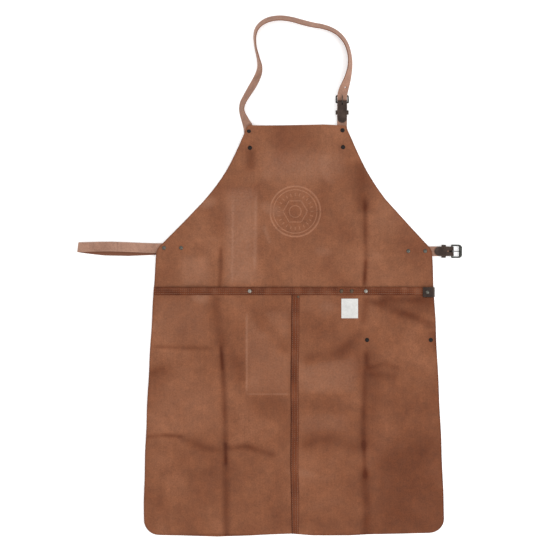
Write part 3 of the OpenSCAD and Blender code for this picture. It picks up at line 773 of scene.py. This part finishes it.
def build_medallion():
    """A plain embossed ring mark on the bib: rings, a hexagon and ticks, raised a little from the leather."""
    centre, parts = np.array([2.2, 468.2]) * MM, []

    def ridge(points, half, rise=0.45 * MM, sides=10):
        p = np.array(points) + centre
        base = underside(p[:, 0], p[:, 1]) + SUEDE_T - 0.08 * MM
        verts = []
        for (x, y), (dx, dy), z in zip(p, direction(p), base):
            for a in np.arange(sides) * 2 * pi / sides:
                verts.append((x + dy * half * cos(a), y - dx * half * cos(a), z + rise * sin(a)))
        parts.append((verts, [face[::-1] for face in ring_faces(len(p), sides)]))

    def circle(r, count=90):
        return [(r * cos(a), r * sin(a)) for a in np.linspace(0, 2 * pi, count)]

    ridge(circle(51.5 * MM), 2.0 * MM, 0.55 * MM)
    ridge(circle(44.6 * MM), 1.2 * MM)
    corners = np.array([(cos(pi / 3 * k), sin(pi / 3 * k)) for k in range(7)]) * 25 * MM
    for p, q in zip(corners, corners[1:]):
        ridge([tuple(p + (q - p) * t) for t in np.linspace(0, 1, 10)], 1.3 * MM)
    ridge(circle(12 * MM, 40), 1.2 * MM)
    for k in range(24):
        a = 2 * pi * k / 24
        ridge([(r * cos(a), r * sin(a)) for r in np.linspace(31, 38, 4) * MM], 1.1 * MM, 0.35 * MM)
    return dress(joined("ring_mark", parts), BURNISHED, "root")


# ---- straps, chapes and buckles
NECK_Y, NECK_TAB_X = mid("neck_strap_bend")[1], mid("neck_tab_bend")[0]
TAB_X, TAB_Y = mid("belt_tab_bend")[0], mid("belt_tab")[1]
MID_Z = (STRAP_Z + LIFT) / 2
NECK_BAR, BELT_BAR = 43.9 * MM, 39.4 * MM
NECK_TILT = radians(11)
AT_NECK = (Matrix.Translation((NECK_TAB_X, NECK_Y, MID_Z)) @ Matrix.Rotation(NECK_TILT, 4, "X")
           @ Matrix.Rotation(pi / 2, 4, "Z"))
AT_BELT = Matrix.Translation((TAB_X, TAB_Y, MID_Z))
# Where the neck's straps start and stop bending
NECK_BEND = (0, NECK_Y - 2 * MM, MID_Z), (0, NECK_Y + 2 * MM, MID_Z)
NECK_FRAME = AT_NECK @ Matrix.Translation((NECK_BAR, 0, 0))
BELT_FRAME = AT_BELT @ Matrix.Translation((BELT_BAR, 0, 0))

# The neck strap's middle and roll at each station, in millimetres and degrees
NECK_ROUTE = [
    (-92, 587, 4.4, 0), (-92, 605, 4.4, 0), (-92, 622, 4.4, 0), (-92.5, 632, 4.4, 0), (-93.3, 638, 4.8, 8),
    (-95, 644, 6.0, 24), (-97.8, 650, 7.6, 40), (-101.4, 658, 9.0, 53), (-105.3, 667.5, 9.6, 61),
    (-107, 678, 9.8, 63), (-104.5, 690, 9.4, 57), (-98.5, 701.5, 9.2, 54), (-91.5, 713, 8.8, 49),
    (-84, 725.5, 8.6, 46), (-77, 738.5, 8.7, 48), (-72, 751, 9.2, 54), (-70.3, 763, 9.9, 65),
    (-72.3, 776, 10.3, 77), (-75.3, 789, 10.4, 82), (-78.4, 802, 10.4, 84), (-80, 815, 10.4, 82),
    (-80, 827, 10.3, 77), (-76.5, 840, 10.1, 69), (-68, 850.5, 9.7, 61), (-56, 858, 9.4, 56),
    (-42, 862, 9.3, 55), (-24, 863, 9.3, 55), (-4, 860, 9.3, 55), (16, 854.5, 9.3, 54), (38, 849, 9.3, 55),
    (58, 845.5, 9.4, 57), (76, 839.5, 9.5, 59), (90, 831, 9.7, 61), (100.5, 820, 9.8, 63),
    (107.5, 808, 9.9, 66), (112, 794, 10, 68), (114.3, 780, 10, 68), (114.3, 766, 10, 65),
    (112.2, 752, 10.6, 59), (109, 739, 11.6, 50), (105.3, 728, 12.7, 38), (101.6, 718, 13.6, 22),
    (99.4, 711, 13.2, 5),
]
# Where it dives through the buckle, as distance from the hinge line and height above the tab's middle
NECK_DIVE = [(57, -2.3), (50.5, -3.7), (43.9, -4.9), (36.5, -4.9), (24, -4.9), (13, -4.9)]


def hinged(obj, nodes, mover, start, end):
    """A strap in one piece across the bend between the panel and a moving body: gives it the strap leather
    and bakes its placement; it stays unattached to either body.
    """
    dress(obj, STRAP, None, nodes)
    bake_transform(obj)


def build_neck_strap():
    dive = [AT_NECK @ Vector((d * MM, 0, h * MM)) for d, h in NECK_DIVE]
    stations = [(x * MM, y * MM, z * MM, roll) for x, y, z, roll in NECK_ROUTE] + [(*p, 0) for p in dive]
    obj = strap("neck_strap_leather", stations, 13, 6, [(102.9 * MM, 721 * MM)])
    hinged(obj, ["neck_strap", "neck_strap_anchor", "neck_strap_bend"], "neck_loop", *NECK_BEND)


def build_neck_tab():
    inner = [(NECK_TAB_X, NECK_Y - d * MM, MID_Z, 0) for d in (61.6, 40, 20, 6, 1.5)]
    outer = [(*(AT_NECK @ Vector((d * MM, 0, 0))), 0) for d in (2.5, 12, 24, 37.3)]
    obj = strap("neck_tab_leather", inner + outer)
    hinged(obj, ["neck_tab", "neck_tab_anchor", "neck_tab_bend"], "neck_loop", *NECK_BEND)


def build_belt_tab():
    along = (-61.6, -40, -20, -5, 0, 5, 18, 32.8)
    obj = strap("belt_tab_leather", [(TAB_X + d * MM, TAB_Y, MID_Z, 0) for d in along])
    hinged(obj, ["belt_tab", "belt_tab_anchor", "belt_tab_bend"], "belt_end", (TAB_X - 2 * MM, 0, MID_Z),
           (TAB_X + 2 * MM, 0, MID_Z))


def build_belt_strap():
    """The riveted end and front run, then the fold and the tucked end, meeting midway along the front."""
    axis_x = mid("belt_strap_bend")[0]
    fold_x, tip_x = lo("belt_strap_front")[0], hi("belt_strap_tail")[0]
    meet = (axis_x + fold_x) / 2

    def front_y(x):
        return np.interp(x / MM, [-440, -405, -373, -337, -305, -281, -230],
                         [395, 396, 396.3, 395, 393.6, 393, 393.5]) * MM

    def back_y(x):
        return np.interp(x / MM, [-440, -420, -390, -337, -284, -200, 20, 140],
                         [394.5, 391.5, 388, 387, 389.3, 388.5, 389.5, 389.5]) * MM

    first = [(x, float(front_y(x)), MID_Z, 0) for x in np.linspace(axis_x + 63 * MM, meet, 14)]
    y = float(front_y(axis_x))
    hinged(strap("belt_strap_leather", first), ["belt_strap_anchor", "belt_strap_bend"], "belt_front",
           (axis_x + 2 * MM, y, MID_Z), (axis_x - 2 * MM, y, MID_Z))
    fold_z, r = LIFT / 2, STRAP_T / 2 + 0.1 * MM
    run = [(x, float(front_y(x)), MID_Z) for x in np.linspace(meet, fold_x + 6 * MM, 12)]
    ends = float(front_y(fold_x)), float(back_y(fold_x))
    turn = [(fold_x - r * sin(a), ends[0] + (ends[1] - ends[0]) * a / pi, fold_z + r * cos(a))
            for a in np.linspace(0, pi, 11)]
    holes = [(x, float(back_y(x))) for x in tip_x - (40 + 25 * np.arange(7)) * MM]
    stops = [np.linspace(fold_x + 6 * MM, tip_x - 11 * MM, 60),
             tip_x - STRAP_W / 2 * (1 - np.sin(np.linspace(0, pi / 2, 10)))]
    stops += [x + np.array([-2.2, -1.6, -0.8, 0, 0.8, 1.6, 2.2]) * MM for x, _ in holes]
    stops = np.unique(np.round(np.concatenate(stops), 5))
    back = [(x, float(back_y(x)), STRAP_T / 2) for x in stops]
    centre = np.array(run + turn + back)
    ahead = np.gradient(centre, axis=0)
    ahead[:, 1] = 0
    ahead /= np.linalg.norm(ahead, axis=1)[:, None]
    normal = np.cross(ahead, [0, -1.0, 0])
    u = np.array([-10, -7, -4.5, -2.2, -1.6, -0.8, 0, 0.8, 1.6, 2.2, 4.5, 7, 10]) / 20
    into_tip = ((centre[:, 0] - (tip_x - STRAP_W / 2)) / (STRAP_W / 2)).clip(0, 1)
    tip = np.sqrt(np.clip(1 - into_tip ** 2, 0.01, 1))
    tip[:len(run) + len(turn)] = 1
    under = centre[:, None, :] + np.array([0, 1.0, 0]) * (u[None, :, None] * (STRAP_W * tip)[:, None, None])
    # The cut at the fold leans a little
    near_fold = np.exp(-((centre[:, 0] - fold_x) / (25 * MM)) ** 2)
    under[..., 0] += 0.12 * (STRAP_W * u)[None, :] * near_fold[:, None]
    under = under - normal[:, None, :] * STRAP_T / 2
    wear_and_shade = np.tile(EDGE_WEAR * np.abs(2 * u) ** 6, (len(centre), 1))
    wear_and_shade[len(run):len(run) + len(turn)] += 0.2
    keep = uncut(under, holes)
    far_part = slab("belt_strap_end", under, normal[:, None, :], STRAP_T, keep, wear_and_shade, soften=0.3 * MM)
    dress(far_part, STRAP, None, ["belt_strap_front", "belt_strap_fold", "belt_strap_tail"])
    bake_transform(far_part)


def build_chape(end, start, bar, slot, place, body):
    """Dark leather folded round the bar: a front ply, a slot for the prong, and a back ply."""
    z, r = (STRAP_T + CHAPE_T) / 2, CHAPE_W / 2
    front = [(x, z) for x in (*np.linspace(start, bar - slot, 23), *np.linspace(bar - slot, bar, 6)[1:])]
    turn = [(bar + z * sin(a), z * cos(a)) for a in np.linspace(0, pi, 15)[1:-1]]
    back = [(x, -z) for x in np.linspace(bar, start + 2 * MM, 20)]
    path = np.array(front + turn + back)
    slotted = len(front) + len(turn)
    out = np.cross(upright(direction(path)), [0, 1.0, 0])[:, None, :]
    half = r * np.sqrt(1 - (1 - np.clip((path[:, 0] - start) / r, 0.02, 1)) ** 2)
    half[slotted:] = r
    u = np.linspace(-1, 1, 17)
    under = upright(path)[:, None, :] + np.array([0, 1.0, 0]) * (u[None, :, None] * half[:, None, None])
    under = under - out * CHAPE_T / 2
    reach = np.where(np.arange(len(path) - 1) < slotted, slot + 0.01 * MM, 1 * MM)
    gap = (path[:-1, 0] > bar - reach)[:, None] & (np.abs(u[:-1] + u[1:]) / 2 < 1.4 * MM / r)[None, :]
    obj = slab(end + "_chape_leather", under, out, CHAPE_T, ~gap, 0.35 * np.abs(u) ** 8, soften=0.35 * MM)
    dress(placed(obj, place), DARK, body, [end + "_chape"])
    row, seam_end = r - 1.8 * MM, bar - 11 * MM
    run = [(start + r - row * cos(a), row * sin(a)) for a in np.linspace(-pi / 2, pi / 2, 24)]
    run = [(seam_end, -row)] + run + [(seam_end, row)]
    points = [place @ Vector((x, y, z + CHAPE_T / 2)) for x, y in run]
    runs = [(points, place.to_3x3() @ Vector(UP))]
    sewn = stitches(end + "_chape_leather_stitches", runs, 3.4 * MM, 2.5 * MM, 0.35 * MM)
    dress(sewn, THREAD_DARK, body)


def build_keeper(end, x, below, place, body):
    """A closed loop of thin dark leather round the chape."""
    top = STRAP_T / 2 + 1.0 * MM
    height = top + STRAP_T / 2 + CHAPE_T + below + KEEPER_T
    w, h, r = KEEPER_W / 2 - KEEPER_T, height / 2 - KEEPER_T, 1.2 * MM
    ring = []
    for k, (sy, sz) in enumerate(((1, 1), (-1, 1), (-1, -1), (1, -1))):
        for a in np.linspace(k * pi / 2, (k + 1) * pi / 2, 7):
            ring.append((sy * (w - r) + r * cos(a), sz * (h - r) + r * sin(a), cos(a), sin(a)))
    y, z, out_y, out_z = np.array(ring).T[:, :, None]
    along = np.linspace(0, KEEPER_LEN, 6)[None, :]
    under = np.stack([x + along + 0 * y, y + 0 * along, z + top - height / 2 + 0 * along], axis=-1)
    obj = slab(end + "_keeper_leather", under, np.stack([0 * out_y, out_y, out_z], axis=-1), KEEPER_T,
               wear_and_shade=[0.4, 0.05, 0, 0, 0.05, 0.4], closed=True, soften=0.25 * MM)
    dress(placed(obj, place), DARK, body, [end + "_keeper"])


def rounded_loop(x0, x1, half, r0, r1, count=8):
    """Points round a rectangle with its own corner radius at each end."""
    out = []
    for cx, cy, r, a0 in ((x1 - r1, half - r1, r1, 0), (x0 + r0, half - r0, r0, 90),
                          (x0 + r0, r0 - half, r0, 180), (x1 - r1, r1 - half, r1, 270)):
        for a in np.radians(np.linspace(a0, a0 + 90, count)):
            out.append((cx + r * cos(a), cy + r * sin(a)))
    return out


def build_buckle(end, length, outer_bar, corner, place, body):
    """A cast frame with rounded edges, swelling at the outer bar, and the bar that it turns on."""
    outer = rounded_loop(-2.0 * MM, length, BUCKLE_W / 2, 1.6 * MM, corner)
    inner = rounded_loop(-0.9 * MM, length - outer_bar, BUCKLE_W / 2 - RAIL_W, 0.6 * MM, 1.6 * MM)
    verts, ring = [], 14
    for (ox, oy), (ix, iy) in zip(outer, inner):
        for a in np.arange(ring) * 2 * pi / ring:
            s, t = (math.copysign(abs(v) ** 0.7, v) for v in (cos(a), sin(a)))
            x, y = ((1 + s) * ox + (1 - s) * ix) / 2, ((1 + s) * oy + (1 - s) * iy) / 2
            verts.append((x, y, FRAME_T / 2 * t))
    faces = []
    for i in range(len(outer)):
        here, there = i * ring, (i + 1) % len(outer) * ring
        faces += [(here + k, here + (k + 1) % ring, there + (k + 1) % ring, there + k) for k in range(ring)]
    bar = tube([(0, y * MM, 0) for y in (-12.4, -12, 12, 12.4)], [PRONG_R, BAR_R, BAR_R, PRONG_R], 20)
    obj = placed(joined(end + "_buckle_cast", [(verts, faces), bar]), place)
    dress(obj, BUCKLE, body, [end + "_buckle_frame"])


def build_prong(end, length, place, body):
    """A bent wire prong: an eye round the bar, then a shank that rests on the outer bar."""
    eye = [(-PRONG_EYE_R * cos(a), 0, PRONG_EYE_R * sin(a)) for a in np.linspace(-2.2, 1.2, 16)]
    shank = [(x, 0, z * MM) for x, z in ((0.6 * MM, 1.95), (3 * MM, 2.0), (length * 0.4, 2.15),
                                         (length - 6.2 * MM, 2.5), (length - 2 * MM, 2.6), (length, 2.45))]
    points = spline([(*p, 0) for p in eye + shank], 3)[:, :3]
    radii = PRONG_R * (1 - 0.35 * smoothstep(len(points) * 0.8, len(points), np.arange(len(points))))
    obj = placed(joined(end + "_prong_wire", [tube(points, radii, 12)]), place)
    dress(obj, BUCKLE, body, [end + "_prong"])


# ---- side loop and fasteners
def build_side_loop():
    x0, y0, low = lo("side_loop_root")
    axis_x, y1, root_top = hi("side_loop_root")
    high, thick = hi("side_loop_flap")[2], root_top - low
    mid_z, r = (low + high) / 2, (high - low - thick) / 2
    path = [(x, mid_z - r) for x in np.linspace(x0, axis_x, 8)]
    path += [(axis_x + r * sin(a), mid_z - r * cos(a)) for a in np.linspace(0, pi, 13)[1:]]
    path += [(x, mid_z + r) for x in np.linspace(axis_x - 1.5 * MM, lo("side_loop_flap")[0], 10)]
    path = np.array(path)
    out = -np.cross(upright(direction(path)), [0, 1.0, 0])[:, None, :]
    under = np.repeat(upright(path)[:, None, :], 9, axis=1) - out * thick / 2
    under[..., 1] = np.linspace(y1, y0, 9)[None, :]
    wear_and_shade = np.zeros(under.shape[:2])
    wear_and_shade[8:20] = 0.35
    obj = slab("side_loop_leather", under, out, thick, wear_and_shade=wear_and_shade, soften=0.3 * MM)
    dress(obj, DARK, None, ["side_loop_root", "side_loop_fold", "side_loop_flap"])
    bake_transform(obj)


def dome(radius, height, foot=0.0):
    """Profile of a pressed cap: a foot, a rolled rim and a flattened dome."""
    out = [(radius * 0.98, -foot), (radius, 0.25 * MM), (radius * 0.97, 0.55 * MM)]
    out += [(radius * 0.93 * cos(a), 0.55 * MM + (height - 0.55 * MM) * sin(a) ** 0.9)
            for a in np.linspace(0.15, pi / 2 - 0.08, 9)]
    return out


def build_caps(name, places, z, mat, nodes, radius=4 * MM, height=1.8 * MM, body="root"):
    """Rivet caps at places given in millimetres."""
    obj = lathe(name, dome(radius, height, 0.3 * MM), [(x * MM, y * MM, z) for x, y in places])
    dress(obj, mat, body, nodes)


def build_fasteners():
    bib_top, band_top, pocket_top = LIFT + SUEDE_T, 2 * SUEDE_T + BAND_T, 2 * SUEDE_T
    build_caps("bib_caps", BIB_RIVETS, bib_top, BLACK, ["bib_rivet_caps"], 4.4 * MM)
    build_caps("waist_caps", WAIST_RIVETS, bib_top, GREY, ["waist_rivet_caps"])
    build_caps("band_caps", BAND_RIVETS[::3], band_top, SILVER, ["band_rivet_caps"])
    build_caps("band_caps_dull", BAND_RIVETS[1:3], band_top, BRONZE, ())
    build_caps("pocket_caps", POCKET_RIVETS, pocket_top, BLACK, ["pocket_rivet_caps"], 4.3 * MM)
    build_caps("seam_cap", [SEAM_RIVET], band_top, BRONZE, ["seam_rivet"], 2.6 * MM, 1.2 * MM)
    build_caps("snap_dome", [SNAP[:2] / MM], hi("side_loop_flap")[2], GREY, ["snap_cap"],
               body="side_flap")
    metals = {"snap_socket": SILVER, "snap_stud": SILVER, "bib_rivet_backs": BLACK, "waist_rivet_backs": GREY,
              "band_rivet_backs": SILVER, "pocket_rivet_backs": BLACK}
    for node, mat in metals.items():
        for place in bpy.data.objects[node].material_slots:
            place.material = mat


# ---- the scene
def build_stage():
    floor = add_object("floor", [(x, y, -0.0006) for x, y in ((-30, -30), (30, -30), (30, 30), (-30, 30))],
                       [(0, 1, 2, 3)])
    mat, _, shader = node_material("pale_floor")
    fill(shader, Base_Color=(0.92, 0.92, 0.92), Roughness=0.9)
    fill(shader, Emission_Color=(1, 1, 1), Emission_Strength=0.3)
    floor.data.materials.append(mat)
    world = bpy.data.worlds.new("studio")
    bpy.context.scene.world = world
    world.use_nodes = True
    fill(world.node_tree.nodes["Background"], Color=(1, 1, 1), Strength=1.0)
    for name, at, size, power in (("key", (2.1, -0.9, 2.3), 2.2, 50), ("fill", (-1.8, 1.7, 2.4), 3.0, 8)):
        lamp = bpy.data.lights.new(name, "AREA")
        lamp.shape, lamp.size, lamp.energy = "SQUARE", size, power
        obj = linked(name, lamp)
        obj.location = at
        obj.rotation_euler = (Vector((0, 0.25, 0)) - Vector(at)).to_track_quat("-Z", "Y").to_euler()
    lens, sensor, view_width = 85, 36, 1.1275
    camera = bpy.data.cameras.new("camera")
    camera.lens, camera.sensor_width = lens, sensor
    eye = linked("camera", camera)
    eye.location = (-0.039, 0.338, lens / sensor * view_width)
    bpy.context.scene.camera = eye
    bpy.context.scene.view_settings.view_transform = "Standard"


build_stage()
body, body_area = build_body()
pockets = [build_pocket("left", lambda y: left_edge(y) + POCKET_INSET, lambda y: SEAM_X + 0 * y),
           build_pocket("right", lambda y: SEAM_X + 0 * y, lambda y: right_edge(y) - POCKET_INSET)]
top_binding, centre_strip = build_bands()
band_stitches = build_band_stitches()
label = build_label()
ring_mark = build_medallion()
build_neck_strap()
build_neck_tab()
build_belt_tab()
build_belt_strap()
build_chape("neck", 2.4 * MM, NECK_BAR, 4.5 * MM, AT_NECK, "neck_loop")
build_chape("belt", 3.4 * MM, BELT_BAR, 10.5 * MM, AT_BELT, "belt_end")
build_keeper("neck", 18.6 * MM, STRAP_T + 0.2 * MM, AT_NECK, "neck_loop")
build_keeper("belt", 18 * MM, 0, AT_BELT, "belt_end")
leaning = NECK_FRAME @ Matrix.Rotation(radians(25), 4, "Y")
build_buckle("neck", 15.6 * MM, 3 * MM, 4 * MM, leaning, "neck_loop")
build_buckle("belt", 20.6 * MM, 6.8 * MM, 7 * MM, BELT_FRAME, "belt_buckle")
build_prong("neck", 14.6 * MM, NECK_FRAME @ Matrix.Rotation(radians(6), 4, "Y"), "neck_loop")
build_prong("belt", 19.6 * MM, BELT_FRAME, "belt_buckle_prong")
build_side_loop()
build_fasteners()
